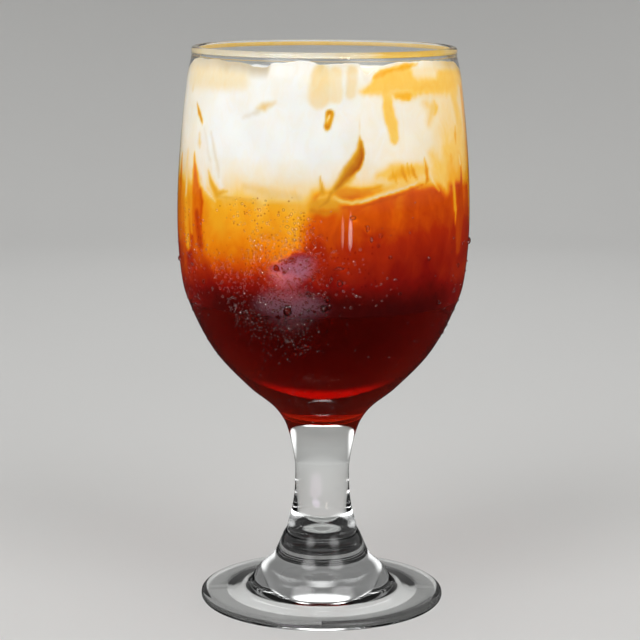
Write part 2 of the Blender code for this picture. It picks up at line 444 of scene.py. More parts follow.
# Upright curls of tea in the blend, and the heights in mm between which they start and calm
CURL_DEPTH = 0.03
CURL_TALL = 0.4
CURL_KIND = (9, 6, 8)
CURLS_START = (96, 112)
CURLS_CALM = (134, 142)
CURLS_CALMED = 0.7
# Low at the sides light comes through the blend; that light is painted in as a paler colour: by degrees and
# height in mm
SIDE_GLOW = 0.16
GLOW_BESIDE = (40, 85)
GLOW_BELOW = (112, 104)
GLOW_MORE = 0.4
GLOW_MORE_BELOW = (101.5, 97.5)

# Streaks: share of tea, shade, softness in mm, and the path in (degrees, mm, width in mm)
STREAKS = [
    (0.50, 1.0, 1.0, [(-77, 140, 0.8), (-77, 131, 3.2), (-77, 116, 3.6)]),
    (0.18, 1.0, 0.8, [(-69, 141.5, 1.4), (-68.5, 128, 1.6)]),
    (0.36, 1.0, 1.1, [(-68, 127, 2.6), (-67, 114, 3.4)]),
    (0.51, 1.0, 1.0, [(-62.3, 141.4, 0.3), (-61, 136, 2.6), (-59, 130, 4.6), (-57.5, 122, 5.6),
                      (-58, 115, 4.0)]),
    (0.57, 0.88, 0.8, [(-56, 131, 0.8), (-54.5, 127.5, 1.6), (-55, 122, 0.6)]),
    (0.60, 0.9, 1.2, [(-58, 124, 2.2), (-56, 115, 3.0)]),
    (0.38, 1.0, 0.8, [(-63.5, 131, 0.8), (-62.5, 118, 1.2)]),
    (0.05, 1.0, 0.7, [(-57, 144, 2.0), (-55.5, 137, 2.6), (-53, 132, 1.0)]),
    (0.03, 1.0, 0.8, [(-49, 144, 3.0), (-46.5, 137, 3.4), (-43, 132.8, 1.2)]),
    # Painted shade: grey-pink along the white ribbons of milk
    (0.09, 0.86, 0.8, [(-51, 148, 0.4), (-46.4, 139.5, 1.1), (-44.6, 135.5, 0.3)]),
    (0.33, 0.88, 0.7, [(-51.3, 137.0, 0.2), (-49, 133.6, 1.8), (-45.6, 130.6, 2.2), (-40.6, 131.6, 0.2)]),
    (0.14, 1.0, 0.5, [(-56.5, 133.4, 0.5), (-51, 130.6, 1.0), (-46.5, 128.4, 0.2)]),
    (0.45, 0.84, 0.7, [(-63.4, 155.8, 0.3), (-61.5, 153.6, 1.7), (-58.6, 151.2, 1.1), (-57.5, 150.2, 0.1)]),
    (0.21, 0.95, 0.8, [(-59.4, 147.2, 0.6), (-58.5, 144.6, 1.4), (-58, 143.2, 0.3)]),
    (0.07, 0.9, 0.8, [(-56, 149, 0.3), (-50.5, 140, 0.8)]),
    (0.19, 0.90, 1.0, [(-27.5, 155.8, 0.8), (-24.5, 156.4, 2.4), (-20, 157.6, 0.5)]),
    (0.07, 0.86, 1.0, [(-33.5, 153, 0.2), (-27.5, 155, 1.4)]),
    (0.30, 0.88, 0.6, [(-45, 129.9, 0.3), (-36, 129.7, 0.7), (-27, 129.8, 0.2)]),
    (0.20, 0.93, 1.4, [(-32, 133.5, 1.5), (-22, 132, 3.2), (-10, 131, 2.0)]),
    (0.12, 0.95, 0.3, [(13.7, 153.2, 0.1), (13.6, 147.5, 0.4)]),
    (0.78, 0.95, 1.5, [(-19.5, 110.4, 0.8), (-14, 110.8, 4.0), (-9.0, 111.8, 7.0)]),
    (0.34, 0.80, 0.8, [(13.8, 148.2, 0.3), (13.9, 144.6, 2.4), (12.4, 141.2, 4.0), (9.8, 138.2, 3.8),
                       (7.0, 135.6, 3.0), (4.0, 133.2, 1.9), (2.2, 132.0, 0.8)]),
    (0.45, 0.66, 0.8, [(14.2, 147.0, 0.4), (14.4, 143.6, 1.9), (13.0, 140.6, 2.4), (10.4, 138.2, 2.0),
                       (7.4, 135.8, 1.2), (4.6, 133.6, 0.5)]),
    (0.52, 0.60, 0.5, [(15.0, 145.0, 0.3), (15.0, 142.2, 1.0), (13.0, 139.6, 1.1), (10.0, 137.2, 0.3)]),
    (0.28, 0.96, 1.4, [(11.4, 136.6, 0.8), (8.2, 134.2, 1.0)]),
    (0.41, 0.92, 0.8, [(4.5, 132.2, 1.4), (8.5, 132.7, 2.6), (14, 132.6, 2.0), (19, 133.4, 0.8),
                       (23, 134.2, 0.1)]),
    (0.47, 0.92, 0.7, [(6.5, 131.2, 0.4), (12.5, 131.8, 0.9), (18, 132.6, 0.1)]),
    (0.35, 0.86, 0.6, [(-1.2, 137.2, 0.1), (-0.9, 134.6, 0.9), (-0.6, 131.5, 1.6)]),
    (0.36, 0.90, 1.0, [(-3.8, 128.3, 2.6), (0, 129.9, 4.4), (3.8, 129.4, 3.8)]),
    (0.29, 0.98, 0.7, [(-2.0, 131.0, 1.0), (1.5, 131.8, 1.2), (4.0, 130.6, 0.8)]),
    (0.43, 0.80, 0.9, [(-4.6, 127.4, 0.8), (0.5, 126.6, 1.4), (5.0, 127.4, 0.6)]),
    (0.40, 0.78, 0.5, [(2.6, 132.6, 0.2), (1.6, 130.2, 0.7), (-1.6, 128.4, 0.2)]),
    (0.26, 1.0, 1.6, [(21, 137.0, 1.6), (28, 138, 5.0), (34, 137.4, 5.6), (42, 138, 3.6)]),
    (0.33, 0.97, 1.0, [(26.5, 136.2, 1.2), (31, 137.6, 2.6), (36.5, 137.8, 1.6)]),
    (0.44, 0.9, 0.6, [(31.4, 139.6, 0.1), (32.6, 136.6, 0.8), (33.8, 134.8, 0.1)]),
    (0.42, 0.9, 0.6, [(36.0, 139.8, 0.1), (37.0, 137, 0.8), (38.6, 135.4, 0.1)]),
    (0.36, 0.94, 0.5, [(27.2, 138.6, 0.1), (28.0, 136.6, 0.7), (29.4, 134.8, 0.1)]),
    (0.38, 0.9, 0.4, [(33.9, 140.4, 0.1), (34.6, 138.0, 0.5), (35.2, 136.0, 0.1)]),
    (0.46, 0.88, 0.6, [(43.0, 141.4, 0.1), (43.6, 138.4, 0.9), (43.8, 135.0, 1.3), (43.0, 134.0, 0.2)]),
    (0.13, 1.0, 0.6, [(44.6, 137.4, 0.2), (46.8, 134.8, 0.9), (50.4, 131.4, 0.1)]),
    (0.22, 1.0, 0.6, [(3.6, 131.7, 0.4), (6.8, 130.0, 1.2), (10.5, 129.6, 1.3), (15.9, 130.3, 1.4),
                      (23.4, 132.1, 1.3), (31, 133.4, 1.4), (38, 134.7, 1.0), (43, 135.8, 0.1)]),
    (0.11, 0.95, 0.4, [(14, 129.7, 0.2), (24, 131.7, 0.6), (38, 134.3, 0.3)]),
    # A thin painted shadow under the pale line along an ice cube's edge
    (0.56, 0.88, 0.6, [(7, 128.2, 0.2), (16, 128.8, 0.6), (26, 130.6, 0.7), (41, 133.6, 0.3)]),
    (0.26, 1.0, 0.7, [(25.4, 162, 3.0), (26.2, 157, 3.6), (27.8, 151.4, 4.0), (28.4, 147.4, 3.4)]),
    (0.23, 1.0, 1.4, [(15, 161, 0.8), (24, 160.4, 1.6), (34.5, 159.6, 3.6), (44, 160, 1.8), (56, 160, 2.6),
                      (72, 159.5, 3.0)]),
    (0.22, 0.97, 2.2, [(44, 157.4, 1.0), (49, 155.4, 4.6), (47, 151.2, 1.6)]),
    (0.27, 0.97, 0.9, [(50.5, 157.4, 0.4), (52, 155.4, 1.4), (50.5, 153.6, 0.4)]),
    (0.24, 1.0, 1.6, [(66, 161, 4.0), (71, 150, 4.6), (73, 138, 5.0)]),
    (0.36, 1.0, 1.4, [(80, 160, 4.6), (82, 145, 6.0), (83, 128, 6.0), (84, 120, 2.0)]),
    (0.38, 0.95, 0.7, [(66, 149.4, 0.3), (65.5, 147, 1.1), (65, 144.4, 0.3)]),
    (0.24, 1.0, 2.2, [(47, 142, 3.0), (52, 136, 6.0), (55, 132, 3.0)]),
    (0.33, 1.0, 0.7, [(60.0, 141.4, 0.8), (61.0, 134, 1.8), (62.0, 126, 1.6), (63, 120.5, 0.2)]),
    (0.60, 0.95, 1.0, [(69.5, 138, 0.1), (69, 133, 1.8), (68, 127, 3.8), (66.5, 121, 5.2), (66, 113, 4.0)]),
    (0.12, 1.0, 0.6, [(67.8, 140.6, 0.4), (69.2, 138, 0.8)]),
]
# Streaks for the rest of the glass: where they run, in degrees, and how far apart they are
SIDES_FROM = 96
SIDES_TO = 270
SIDES_APART = 5.5
SIDES_SEED = 11
# The film that the drink leaves on the glass above its surface: what colours it
FILM_STREAKS = [
    (0.17, 0.96, 1.0, [(-70, 160, 2.0), (-68, 165, 2.4)]),
    (0.12, 0.97, 1.8, [(-74, 163.5, 6.0), (-58, 163.6, 7.0), (-36, 163.4, 5.0)]),
    (0.15, 0.97, 1.0, [(-1.8, 159.6, 7.0), (-1.4, 165.6, 6.6)]),
    (0.13, 0.98, 0.7, [(4.6, 159.8, 4.4), (4.8, 165.8, 4.4)]),
    (0.05, 0.98, 0.3, [(7.6, 159.8, 0.3), (7.9, 166.6, 0.4)]),
    (0.13, 0.97, 0.7, [(11.0, 160.5, 3.4), (11.4, 166.8, 3.2)]),
    (0.26, 1.0, 1.2, [(17, 161, 2.0), (24, 163.6, 5.6), (32, 164.4, 7.6), (42, 163.6, 6.0), (66, 163.2, 5.0),
                      (84, 163, 4.0)]),
    (0.34, 0.97, 0.7, [(20, 164.6, 0.6), (24.5, 166.0, 2.0), (29.5, 167.0, 0.8)]),
    (0.34, 0.97, 0.7, [(30.5, 166.8, 0.5), (36, 167.7, 2.0), (43, 168.2, 0.6)]),
    (0.12, 1.0, 1.7, [(41, 165.6, 2.4), (52, 165.4, 3.2)]),
    (0.27, 1.0, 1.0, [(40, 161.2, 1.8), (54, 161.4, 2.8), (70, 162.0, 3.6)]),
    (0.33, 1.0, 0.7, [(30.5, 159.4, 1.4), (36.5, 159.2, 2.4)]),
]
# How high the film reaches, by degrees from the front, in mm
FILM_TOPS = [
    (-90, 164.0), (-82, 166.0), (-74, 168.4), (-66, 168.8), (-54, 168.7), (-42, 168.5), (-34, 168.2),
    (-28, 167.4), (-24.4, 167.2), (-22.8, 168.4), (-20.8, 168.8), (-10, 169.3), (-4, 169.0), (-2, 168.4),
    (7.4, 168.4), (8.6, 168.9), (14.6, 169.0), (16.4, 166.0), (18, 165.4), (21, 166.8), (25, 168.0),
    (31, 168.7), (38, 169.0), (48, 168.9), (56, 168.6), (64, 168.2), (74, 167.4), (84, 165.4), (96, 163.6),
    (120, 163.3), (140, 165.2), (155, 164.0), (180, 163.4), (200, 165.0), (225, 163.4), (250, 164.6),
]
# How thin the film is near its top, by degrees. There the grey glass seen through it is painted in, as a
# darker tan-grey
FILM_THIN = [
    (-90, 0.6), (-74, 0.5), (-58, 0.7), (-48, 0.95), (-24.2, 1.0), (-22.6, 0.0), (-4, 0.0), (-1, 0.25),
    (14, 0.15), (17, 0.2), (22, 0.0), (50, 0.0), (58, 0.35), (66, 0.8), (80, 0.8), (130, 0.5), (200, 0.7),
    (250, 0.6),
]
FILM_START = (160, 163)
FILM_FADE = 4.0
THIN_SHADE = 0.62
THIN_TINT = 0.10
# A line of drink along the inside of the rim, in degrees round its bead, and its depth. It also stands in
# for the bright line that the rim bead shows by refraction: a painted highlight
RIM_LINE_FROM = 210
RIM_LINE_TO = 150
RIM_LINE_IN = 0.3 * MM
RIM_LINE_OUT = 0.07 * MM
RIM_LINE_PARTS = 8
RIM_LINE_SHARE = [
    (-180, 0.20), (-130, 0.22), (-95, 0.17), (-60, 0.11), (-20, 0.06), (0, 0.07), (14, 0.12), (26, 0.24),
    (52, 0.26), (66, 0.20), (95, 0.20), (140, 0.17), (180, 0.20),
]
# Painted shade: the line is darker towards the back, by degrees from the front
RIM_LINE_SHADE = [
    (-180, 0.74), (-110, 0.78), (-70, 0.92), (0, 1.0), (50, 0.98), (75, 0.85), (110, 0.78), (180, 0.74),
]
# Streaks on the open surface, as above, with (x, y, width) in mm
SURFACE_STREAKS = [
    (0.19, 0.92, 0.8, [(-37, 4, 1.5), (-28, -6, 1.8), (-16, -15, 1.0)]),
    (0.15, 0.94, 0.8, [(-34, -12, 1.0), (-24, -20, 2.0), (-10, -26, 0.8)]),
    (0.18, 0.96, 1.0, [(-2, -33, 2.2), (10, -34, 1.4), (18, -33, 1.0)]),
    (0.27, 1.0, 1.6, [(20, -32, 3.0), (30, -22, 5.0), (36, -8, 4.0), (36, 8, 2.0)]),
    (0.33, 1.0, 0.8, [(24, -30, 0.8), (33, -17, 1.8), (37, -4, 0.6)]),
    (0.20, 0.96, 1.2, [(-20, 30, 2.0), (0, 34, 3.0), (16, 30, 1.5)]),
    (0.24, 0.97, 1.0, [(30, 18, 2.0), (22, 30, 1.2)]),
    (0.22, 0.95, 1.0, [(-36, 14, 1.4), (-28, 26, 2.0)]),
]
# A drop of tea caught in the milk against the glass, with a painted dark ring and a painted highlight in its
# pale middle
TEA_DROP = [
    (0.44, 0.74, 0.6, [(0.9, 151.2, 2.0), (2.5, 154.8, 2.3)]),
    (0.33, 1.0, 0.6, [(1.1, 151.9, 0.7), (2.4, 154.4, 0.9)]),
    (0.08, 1.0, 0.3, [(1.3, 152.8, 0.4), (2.2, 154.2, 0.5)]),
]


def side_streaks():
    """Streaks of the same kinds, as such paths, for the rest of the glass, at random places."""
    draw = np.random.default_rng(SIDES_SEED)
    made = []
    for middle in np.arange(SIDES_FROM, SIDES_TO, SIDES_APART):
        at = middle + draw.uniform(-2.5, 2.5)
        top = draw.uniform(134, 152)
        lean = draw.uniform(-5, 5)
        wide = draw.uniform(0.6, 1.3)
        kind = draw.integers(0, 6)
        if kind == 0:
            # A short leaning streak in the milk
            path = [(at, top, 0.2), (at + lean, top - 4, 2.6 * wide), (at + 2 * lean, top - 9, 0.4)]
            made.append((draw.uniform(0.26, 0.42), 0.9, 1.1, path))
        elif kind == 1:
            # A run of tea from the milk's surface
            path = [(at, 163, 2.4 * wide), (at + 0.4 * lean, top, 1.8 * wide)]
            path.append((at + 0.5 * lean, top - 3, 0.6))
            made.append((draw.uniform(0.16, 0.26), 0.98, 1.0, path))
        elif kind == 2:
            # Tea that climbs out of the blend
            path = [(at, 141, 0.2), (at + 0.3 * lean, 134, 2.4 * wide), (at + lean, 119, 3.6 * wide)]
            made.append((draw.uniform(0.42, 0.54), 1.0, 1.6, path))
        elif kind == 3:
            # Milk that hangs into the blend
            path = [(at, 144, 4.0 * wide), (at + lean, 136, 3.4 * wide), (at + 1.5 * lean, 129, 0.6)]
            made.append((draw.uniform(0.03, 0.12), 1.0, 1.5, path))
        elif kind == 4:
            # A pale edge along the top of the blend
            path = [(at - 9, 134 - 0.4 * lean, 0.3), (at, 130.5, 1.2), (at + 9, 132 + 0.4 * lean, 0.3)]
            made.append((0.22, 1.0, 0.6, path))
        else:
            # A level cloud in the milk
            path = [(at - 6, top, 0.5), (at, top + 0.4 * lean, 3.0 * wide), (at + 6, top - 0.4 * lean, 0.5)]
            made.append((draw.uniform(0.12, 0.2), 0.97, 1.8, path))
    return made


def film_top(angle):
    """Height in metres to which the film on the glass reaches, by degrees from the front."""
    tops = [(at + turns, height) for turns in (-360, 0, 360) for at, height in FILM_TOPS]
    return rippled(np.interp(angle, *zip(*tops)), angle, 0 * angle, FILM_RIPPLE) * MM


def share_on_side(side, level):
    """Share of tea at a level, on the pale side or the dark side."""
    return np.interp(-level, *zip(*[(-height, share) for height, share in side]))


def tea_share(angle, height):
    """Share of tea from 0, milk, to 1, tea, and shade, by degrees from the front and height in mm."""
    slant = SLANT * np.clip(SLANT_BELOW - height, 0, SLANT_DEPTH)
    around = rippled(angle + slant, angle, height, LAYER_SWAY)
    level = rippled(height, angle, height, LAYER_LIFT)
    low = np.interp(around, *zip(*LEAN_LOW, (180, LEAN_LOW[0][1])))
    high = np.interp(around, *zip(*LEAN_HIGH, (180, LEAN_HIGH[0][1])))
    lean = low + (high - low) * smooth(*MILK_EDGE, height)
    pale = share_on_side(PALE_SIDE, level)
    share = pale + (share_on_side(DARK_SIDE, level) - pale) * lean
    curls = CURL_DEPTH * ripple(angle, height * CURL_TALL, *CURL_KIND) * smooth(*CURLS_START, height)
    share += curls * (1 - CURLS_CALMED * smooth(*CURLS_CALM, height))
    # Painted glow: the blend is painted paler low at its sides
    beside = smooth(*GLOW_BESIDE, np.abs((angle + 180) % 360 - 180)) * smooth(*GLOW_BELOW, height)
    share -= SIDE_GLOW * beside * (1 + GLOW_MORE * smooth(*GLOW_MORE_BELOW, height))
    shade = rippled(np.ones_like(share), angle, height, SHADE_RIPPLE)
    warped = rippled(angle, angle, height, STREAK_SWAY)
    lifted = rippled(height, angle, height, STREAK_LIFT)
    for value, dim, soft, path in STREAKS + TEA_DROP + FILM_STREAKS + side_streaks():
        covered = stroke(warped, lifted, path, soft)
        share += (value - share) * covered
        shade += (dim - shade) * covered
    # Near the film's top the grey glass seen through it is painted in: darker, and a little tan
    thinness = sorted((at % 360, thin) for at, thin in FILM_THIN)
    fading = np.interp(angle % 360, *zip(*thinness)) * smooth(*FILM_START, height)
    fading *= 1 - smooth(0, FILM_FADE, film_top(angle) / MM - height)
    shade *= 1 - (1 - THIN_SHADE) * fading
    share += THIN_TINT * fading
    return np.clip(share, 0, 1), shade


def skin_radius(height):
    """Radius of the layers' skin at a height."""
    return np.interp(height, [p.y for p in skin_line], [p.x for p in skin_line])


def surface_share(across, back):
    """Share of tea and shade of the open surface, by x and y in mm."""
    shade = np.ones_like(across)
    share = rippled(SURFACE_SHARE * shade, across, back, SURFACE_RIPPLE)
    bent = rippled(across, across, back, SURFACE_SWAY)
    moved = rippled(back, across, back, SURFACE_LIFT)
    for value, dim, soft, path in SURFACE_STREAKS:
        covered = stroke(bent, moved, path, soft, 1.0)
        share += (value - share) * covered
        shade += (dim - shade) * covered
    return np.clip(share, 0, 1), shade


def write_at_corners(mesh, label, values):
    """Keeps a number for each corner of a mesh as an attribute."""
    held = mesh.attributes.new(label, "FLOAT", "POINT")
    held.data.foreach_set("value", values.astype(np.float32))


def carry(mesh, looks):
    """Writes the share of tea and the shade at each corner of a mesh."""
    share, shade = looks
    write_at_corners(mesh, "tea_share", share)
    write_at_corners(mesh, "shade", shade)


def layer_of_skin(name, rings, open_from=None):
    """A closed shape of rings, from bottom middle to top middle, that carries its share of tea."""
    turn = np.arange(COLUMNS) * 2 * pi / COLUMNS
    vertices = [(0.0, 0.0, rings[0][1].mean())]
    for radii, heights in rings:
        vertices += np.stack([radii * np.sin(turn), -radii * np.cos(turn), heights], axis=1).tolist()
    vertices.append((0.0, 0.0, rings[-1][1].mean()))
    here = np.arange(COLUMNS)
    after = (here + 1) % COLUMNS
    faces = [(0, int(b), int(a)) for a, b in zip(here + 1, after + 1)]
    for row in range(len(rings) - 1):
        low, up = 1 + row * COLUMNS, 1 + (row + 1) * COLUMNS
        faces += np.stack([low + here, low + after, up + after, up + here], axis=1).tolist()
    last = 1 + (len(rings) - 1) * COLUMNS
    faces += [(len(vertices) - 1, int(a), int(b)) for a, b in zip(last + here, last + after)]
    mesh = bpy.data.meshes.new(name)
    mesh.from_pydata(vertices, [], faces)
    made = link(name, mesh)
    places = np.array(vertices) / MM
    angle = np.degrees(np.arctan2(places[:, 0], -places[:, 1]))
    looks = tea_share(angle, places[:, 2])
    if open_from is not None:
        inner = np.arange(len(vertices)) >= 1 + open_from * COLUMNS
        away = (SURFACE_EDGE - np.hypot(places[:, 0], places[:, 1])) / SURFACE_BLEND
        share_of_top = np.where(inner, np.clip(away, 0, 1), 0)
        top = surface_share(places[:, 0], places[:, 1])
        looks = [wall + (flat - wall) * share_of_top for wall, flat in zip(looks, top)]
    carry(mesh, looks)
    return made


def seam_height(angle):
    """Height of the border between blend and milk at the glass."""
    return SEAM + sum(rise * np.sin(waves * angle + start) for rise, waves, start in SEAM_WAVES) * MM


# Colour by share of tea
MIX_RAMP = [
    (0.00, (0.90, 0.90, 0.88)), (0.12, (0.91, 0.78, 0.55)), (0.24, (0.95, 0.63, 0.14)),
    (0.33, (0.93, 0.47, 0.02)), (0.45, (0.86, 0.28, 0.004)), (0.55, (0.72, 0.11, 0.002)),
    (0.65, (0.46, 0.026, 0.003)), (0.78, (0.26, 0.006, 0.003)), (0.90, (0.10, 0.003, 0.002)),
    (1.00, (0.045, 0.002, 0.002)),
]
FINE_CURLS_PER_METRE = 260.0
FINE_CURLS_TALL = 0.55
FINE_CURLS_SPREAD = 0.10
MILK_SCATTER = 1.2 * MM


def mixed_milk(name, shine):
    """Milk and tea by the share of tea that the skin carries, with fine curls of both."""
    made, output = new_material(name)
    carried = add(made, "Attribute", attribute_name="tea_share")
    carried_shade = add(made, "Attribute", attribute_name="shade")
    place = add(made, "TexCoord")
    drawn = add(made, "Mapping", Scale=(1, 1, FINE_CURLS_TALL))
    curls = add(made, "TexNoise", Scale=FINE_CURLS_PER_METRE, Detail=4.0, Roughness=0.6, Distortion=1.2)
    spread = add(made, "Math", operation="MULTIPLY_ADD")
    spread.inputs[1].default_value = FINE_CURLS_SPREAD
    spread.inputs[2].default_value = -FINE_CURLS_SPREAD / 2
    total = add(made, "Math", operation="ADD")
    (start, first), *middle, (stop, last) = MIX_RAMP
    colours = run_of_colour(made, first, last, start, stop)
    for position, colour in middle:
        colours.color_ramp.elements.new(position).color = (*colour, 1)
    dimmed = add(made, "VectorMath", operation="SCALE")
    liquid = add(
        made, "BsdfPrincipled", Roughness=0.25, IOR=1.35, Specular_IOR_Level=shine,
        Subsurface_Weight=0.25, Subsurface_Radius=(1.0, 0.7, 0.4), Subsurface_Scale=MILK_SCATTER,
    )
    join(made, place.outputs["Object"], drawn.inputs["Vector"])
    join(made, drawn.outputs[0], curls.inputs["Vector"])
    join(made, curls.outputs[0], spread.inputs[0])
    join(made, carried.outputs["Fac"], total.inputs[0])
    join(made, spread.outputs[0], total.inputs[1])
    join(made, total.outputs[0], colours.inputs[0])
    join(made, colours.outputs[0], dimmed.inputs[0])
    join(made, carried_shade.outputs["Fac"], dimmed.inputs["Scale"])
    join(made, dimmed.outputs[0], liquid.inputs["Base Color"])
    join(made, liquid.outputs[0], output.inputs["Surface"])
    return made


skin_line = pushed_out(bowl_inside, SKIN_REACH)
turn = np.arange(COLUMNS) * 2 * pi / COLUMNS
seam = seam_height(turn)
rows = int((SEAM - BLEND_FLOOR) / SKIN_ROW)
rings = [(np.full(COLUMNS, skin_radius(BLEND_FLOOR) / 2), np.full(COLUMNS, BLEND_FLOOR))]
for row in range(rows + 1):
    heights = BLEND_FLOOR + (seam - BLEND_FLOOR) * row / rows
    rings.append((skin_radius(heights), heights))
rings.append((skin_radius(seam) / 2, seam))
blend = layer_of_skin("amber_blend_skin", rings)
blend.data.materials.append(mixed_milk("amber_blend_liquid", SHINE_AT_GLASS))
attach(blend, "root")
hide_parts("amber_blend")

rows = int((MILK_LEVEL - SEAM) / SKIN_ROW)
brim = film_top(np.degrees(turn))
rings = [(skin_radius(seam) / 2, seam)]
for row in range(rows + 1):
    heights = seam + (brim - seam) * row / rows
    rings.append((skin_radius(heights), heights))
contact = np.full(COLUMNS, MILK_LEVEL + MENISCUS)
rings.append((skin_radius(brim) - SKIN_REACH, brim + FILM))
rings.append((skin_radius(brim) - SKIN_REACH - FILM, brim - FILM))
rings.append((skin_radius(contact) - SKIN_REACH - FILM, contact))
open_from = len(rings)
for inset in SURFACE_INSETS:
    rise = MENISCUS * exp(-inset * MM / MENISCUS_REACH)
    radius = skin_radius(contact) - SKIN_REACH - FILM - inset * MM
    lap = LAP * ripple(radius / MM * np.sin(turn), radius / MM * np.cos(turn), *LAP_KIND)
    rings.append((radius, MILK_LEVEL + rise + lap * min(1, inset / LAP_FROM)))
milk = layer_of_skin("streaked_milk", rings, open_from)
milk.data.materials.append(mixed_milk("streaked_milk_liquid", SHINE_AT_GLASS))
milk.data.materials.append(mixed_milk("milk_surface_liquid", SHINE_IN_AIR))
for face in milk.data.polygons:
    face.material_index = int(face.index >= COLUMNS * (1 + open_from))
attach(milk, "root")
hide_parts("milk")

# The line of drink on the rim, which also paints in the bright line the bead shows by refraction
line_round_bead = (
    arc(rim_middle, RIM_BEAD - RIM_LINE_IN, RIM_LINE_FROM, RIM_LINE_TO, RIM_LINE_PARTS)
    + arc(rim_middle, RIM_BEAD + RIM_LINE_OUT, RIM_LINE_TO, RIM_LINE_FROM, RIM_LINE_PARTS)
)
rim_line = turned("milk_line_and_painted_glint_on_rim", line_round_bead + line_round_bead[:1], TURN_STEPS)
shut = bmesh.new()
shut.from_mesh(rim_line.data)
bmesh.ops.remove_doubles(shut, verts=shut.verts, dist=WELD)
bmesh.ops.recalc_face_normals(shut, faces=shut.faces)
shut.to_mesh(rim_line.data)
shut.free()
bearing = np.array([np.degrees(np.arctan2(v.co.x, -v.co.y)) for v in rim_line.data.vertices])
carry(rim_line.data, [np.interp(bearing, *zip(*table)) for table in (RIM_LINE_SHARE, RIM_LINE_SHADE)])
rim_line.data.materials.append(milk.data.materials[0])
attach(rim_line, "root")
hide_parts("milk")

# Ice: cubes from a tray, melted round and hollow at their faces, wet, and cloudy all through.
# Milk and tea run over them: each has the tint of what covers it, in patches. They float in the
# milk, and five stand out of it. Each keeps the place and form of its solid.
ICE_GRAIN = 0.8 * MM
MELT_DEPTH = 1.6 * MM
MELT_SIZE = 9 * MM
MELT_MIDDLE = 0.55
EVENED_BY = 0.5
EVENED_TIMES = 5
ICE_SCATTER = 3 * MM
RUNS_PER_METRE = 95.0
DENTS_PER_METRE = 160.0
DENT_STRENGTH = 0.35
DENT_DEPTH = 0.8 * MM
TINT_EDGE = 0.07
# Two tints of the drink on each cube, and the share of the first
ICE_TINTS = {
    "ice_left": ((0.92, 0.94, 0.98), (0.84, 0.84, 0.84), 0.46),
    "ice_centre": ((0.93, 0.80, 0.60), (0.95, 0.90, 0.82), 0.56),
    "ice_right": ((0.95, 0.60, 0.10), (0.96, 0.78, 0.42), 0.46),
    "ice_back_left": ((0.90, 0.88, 0.86), (0.86, 0.76, 0.62), 0.50),
    "ice_back_right": ((0.94, 0.84, 0.66), (0.92, 0.90, 0.88), 0.50),
}


def wet_ice(name, first, second, share):
    """Wet ice under runs of drink in two tints."""
    made, output = new_material(name)
    place = add(made, "TexCoord")
    runs = add(made, "Mapping", Rotation=(0.4, 0.5, 0.3), Scale=(1.0, 1.0, 2.2))
    clouds = add(made, "TexNoise", Scale=RUNS_PER_METRE, Detail=4.0, Roughness=0.6, Distortion=1.5)
    tints = run_of_colour(made, first, second, share - TINT_EDGE, share + TINT_EDGE)
    ice = add(
        made, "BsdfPrincipled", Roughness=0.18, IOR=1.31, Subsurface_Weight=0.5,
        Subsurface_Radius=(1.0, 0.9, 0.8), Subsurface_Scale=ICE_SCATTER, Coat_Weight=0.8,
        Coat_Roughness=0.03,
    )
    dents = add(made, "TexNoise", Scale=DENTS_PER_METRE, Detail=2.0)
    bump = add(made, "Bump", Strength=DENT_STRENGTH, Distance=DENT_DEPTH)
    join(made, place.outputs["Object"], runs.inputs["Vector"])
    join(made, runs.outputs[0], clouds.inputs["Vector"])
    join(made, clouds.outputs[0], tints.inputs[0])
    join(made, tints.outputs[0], ice.inputs["Base Color"])
    join(made, place.outputs["Object"], dents.inputs["Vector"])
    join(made, dents.outputs[0], bump.inputs["Height"])
    join(made, bump.outputs[0], ice.inputs["Normal"])
    join(made, ice.outputs[0], output.inputs["Surface"])
    return made


melt = bpy.data.textures.new("melt", "CLOUDS")
melt.noise_scale = MELT_SIZE
for node, (first, second, share) in ICE_TINTS.items():
    form = bmesh.new()
    form.from_mesh(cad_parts[node].data)
    bmesh.ops.remove_doubles(form, verts=form.verts, dist=WELD)
    mesh = bpy.data.meshes.new(node + "_cube")
    form.to_mesh(mesh)
    form.free()
    cube = link(node + "_cube", mesh)
    grain = cube.modifiers.new("grain", "REMESH")
    grain.mode = "VOXEL"
    grain.voxel_size = ICE_GRAIN
    hollow = cube.modifiers.new("hollow", "DISPLACE")
    hollow.texture = melt
    hollow.strength = MELT_DEPTH
    hollow.mid_level = MELT_MIDDLE
    even = cube.modifiers.new("even", "SMOOTH")
    even.factor = EVENED_BY
    even.iterations = EVENED_TIMES
    plain_mesh(cube)
    cube.data.materials.clear()
    cube.data.shade_smooth()
    cube.data.materials.append(wet_ice(node + "_wet", first, second, share))
    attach(cube, "root")
    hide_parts(node)

# Condensation: water from the air has settled on the cold bowl as a mist of fine beads, thickest
# at the front left. Some have run together into larger drops, and a few have begun to slide.
MIST_FROM = 62.0
MIST_FULL_FROM = 76.0
MIST_FULL_TO = 116.0
MIST_TO = 136.0
# Patches of mist: how thick, softness in mm, and the path in (degrees, mm, width in mm)
MIST_PATCHES = [
    (1.0, 3.0, [(-36, 125, 5), (-20, 126, 8), (-12, 123, 12), (-16, 112, 22), (-22, 100, 22),
                (-14, 92, 16)]),
    (0.9, 4.0, [(-40, 108, 12), (-34, 98, 12), (-6, 100, 12), (-2, 116, 8)]),
    (0.3, 5.0, [(6, 112, 10), (12, 104, 10), (22, 106, 8)]),
    (0.4, 6.0, [(-60, 118, 12), (-64, 100, 12)]),
    (0.8, 6.0, [(118, 122, 16), (112, 104, 20), (128, 92, 12)]),
    (0.7, 6.0, [(196, 126, 14), (206, 108, 22), (190, 94, 16)]),
    (0.15, 6.0, [(60, 100, 12), (76, 90, 12)]),
    (0.45, 4.0, [(-38, 95, 7), (-28, 88, 8), (-14, 85, 8), (-2, 87, 6)]),
]
MIST_BASE = 0.02
MIST_EVEN = 0.75
